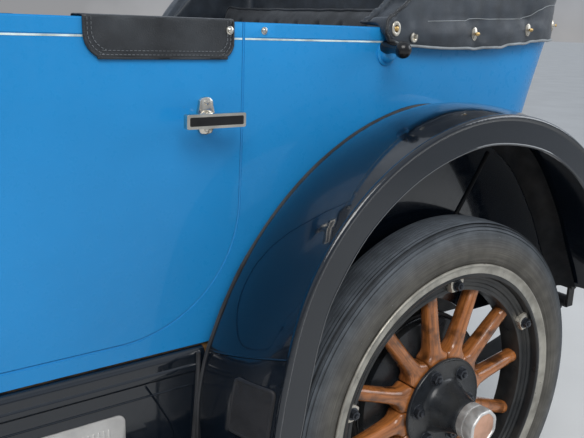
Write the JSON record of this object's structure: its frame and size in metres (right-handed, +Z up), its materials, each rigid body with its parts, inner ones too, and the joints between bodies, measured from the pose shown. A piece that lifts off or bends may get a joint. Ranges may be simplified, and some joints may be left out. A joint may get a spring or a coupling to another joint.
{
  "type": "vintage touring car",
  "caption": "Open 1920s touring car with folded top, wood-spoked wheels, sweeping fenders, running boards and splash aprons, steered front wheels, opening doors and a split hood.",
  "frame": {"origin": "on the ground under the middle of the car's bounding box", "axes": "+X towards the front, +Y towards the car's left side, +Z up"},
  "size_m": [4.177, 1.71, 1.765],
  "materials": {
    "body_blue": "gloss",
    "fender_black": "gloss",
    "chassis_black": "satin",
    "engine_iron": "matte",
    "exhaust_steel": "matte",
    "floor_wood": "matte",
    "radiator_nickel": "polished",
    "core_black": "matte",
    "glass_clear": "clear",
    "leather_black": "satin",
    "boot_cloth": "satin",
    "tyre_rubber": "matte",
    "spoke_wood": "varnished",
    "rim_silver": "satin",
    "wheel_rim_black": "gloss"
  },
  "bodies": {
    "chassis": {"chassis_frame": "chassis_black", "front_axle": "chassis_black", "leaf_springs": "chassis_black", "rear_axle": "chassis_black", "engine_block": "engine_iron", "exhaust": "exhaust_steel", "fuel_tank": "chassis_black", "body_tub": "body_blue", "floor": "floor_wood", "cowl": "body_blue", "radiator_shell": "radiator_nickel", "radiator_core": "core_black", "windscreen_frame": "chassis_black", "windscreen_glass": "glass_clear", "fenders_rear": "fender_black", "fenders_front": "fender_black", "running_boards": "fender_black", "splash_aprons": "fender_black", "seat_front": "leather_black", "seat_rear": "leather_black", "seat_base_front": "floor_wood", "seat_base_rear": "floor_wood", "top_boot": "boot_cloth", "headlamps": "chassis_black", "headlamp_lenses": "glass_clear", "steering_column": "chassis_black", "spare_tyre": "tyre_rubber", "spare_rim": "rim_silver", "spare_carrier": "chassis_black", "tail_lamp": "chassis_black"},
    "door_front_left_body": {"door_front_left": "body_blue"},
    "door_front_right_body": {"door_front_right": "body_blue"},
    "door_rear_left_body": {"door_rear_left": "body_blue"},
    "door_rear_right_body": {"door_rear_right": "body_blue"},
    "hood_left_body": {"hood_left": "body_blue"},
    "knuckle_left_body": {"knuckle_left": "chassis_black"},
    "hood_right_body": {"hood_right": "body_blue"},
    "knuckle_right_body": {"knuckle_right": "chassis_black"},
    "tie_rod_body": {"tie_rod": "chassis_black"},
    "steering_wheel_body": {"steering_wheel": "wheel_rim_black"},
    "wheel_front_left": {"tyre_front_left": "tyre_rubber", "spokes_front_left": "spoke_wood", "rim_and_hub_front_left": "rim_silver"},
    "wheel_front_right": {"tyre_front_right": "tyre_rubber", "spokes_front_right": "spoke_wood", "rim_and_hub_front_right": "rim_silver"},
    "wheel_rear_left": {"tyre_rear_left": "tyre_rubber", "spokes_rear_left": "spoke_wood", "rim_and_hub_rear_left": "rim_silver"},
    "wheel_rear_right": {"tyre_rear_right": "tyre_rubber", "spokes_rear_right": "spoke_wood", "rim_and_hub_rear_right": "rim_silver"}
  },
  "joints": [
    {"name": "knuckle_left_steer", "type": "hinge", "parent": "chassis", "child": "knuckle_left_body", "pos_m": [1.5795, 0.608, 0.415], "axis": [0, 0, 1], "range_deg": [-30, 30]},
    {"name": "knuckle_right_steer", "type": "hinge", "parent": "chassis", "child": "knuckle_right_body", "pos_m": [1.5795, -0.608, 0.415], "axis": [0, 0, 1], "range_deg": [-30, 30]},
    {"name": "tie_rod_pivot", "type": "hinge", "parent": "knuckle_left_body", "child": "tie_rod_body", "pos_m": [1.4295, 0.608, 0.331], "axis": [0, 0, 1], "range_deg": [-30, 30]},
    {"name": "wheel_front_left_spin", "type": "hinge", "parent": "knuckle_left_body", "child": "wheel_front_left", "pos_m": [1.5795, 0.711, 0.415], "axis": [0, 1, 0], "continuous": true},
    {"name": "wheel_front_right_spin", "type": "hinge", "parent": "knuckle_right_body", "child": "wheel_front_right", "pos_m": [1.5795, -0.711, 0.415], "axis": [0, 1, 0], "continuous": true},
    {"name": "wheel_rear_left_spin", "type": "hinge", "parent": "chassis", "child": "wheel_rear_left", "pos_m": [-1.3665, 0.711, 0.415], "axis": [0, 1, 0], "continuous": true},
    {"name": "wheel_rear_right_spin", "type": "hinge", "parent": "chassis", "child": "wheel_rear_right", "pos_m": [-1.3665, -0.711, 0.415], "axis": [0, 1, 0], "continuous": true},
    {"name": "steering_wheel_turn", "type": "hinge", "parent": "chassis", "child": "steering_wheel_body", "pos_m": [0.0835, 0.31, 1.236], "axis": [0.8201, 0, -0.5722], "range_deg": [-360, 360]},
    {"name": "door_rear_left_hinge", "type": "hinge", "parent": "chassis", "child": "door_rear_left_body", "pos_m": [-0.3165, 0.641, 0.95], "axis": [0, 0, 1], "range_deg": [-62, 0]},
    {"name": "door_front_left_hinge", "type": "hinge", "parent": "chassis", "child": "door_front_left_body", "pos_m": [0.3335, 0.57383, 0.95], "axis": [0, 0, 1], "range_deg": [-62, 0]},
    {"name": "door_rear_right_hinge", "type": "hinge", "parent": "chassis", "child": "door_rear_right_body", "pos_m": [-0.3165, -0.641, 0.95], "axis": [0, 0, 1], "range_deg": [0, 62]},
    {"name": "door_front_right_hinge", "type": "hinge", "parent": "chassis", "child": "door_front_right_body", "pos_m": [0.3335, -0.57383, 0.95], "axis": [0, 0, 1], "range_deg": [0, 62]},
    {"name": "hood_left_hinge", "type": "hinge", "parent": "chassis", "child": "hood_left_body", "pos_m": [0.7535, 0, 1.2265], "axis": [0.9978, 0, -0.0667], "range_deg": [0, 55]},
    {"name": "hood_right_hinge", "type": "hinge", "parent": "chassis", "child": "hood_right_body", "pos_m": [0.7535, 0, 1.2265], "axis": [0.9978, 0, -0.0667], "range_deg": [-55, 0]}
  ],
  "couplings": [
    {"joint": "knuckle_right_steer", "follows": "knuckle_left_steer", "ratio": 1},
    {"joint": "tie_rod_pivot", "follows": "knuckle_left_steer", "ratio": -1},
    {"joint": "steering_wheel_turn", "follows": "knuckle_left_steer", "ratio": -12}
  ]
}
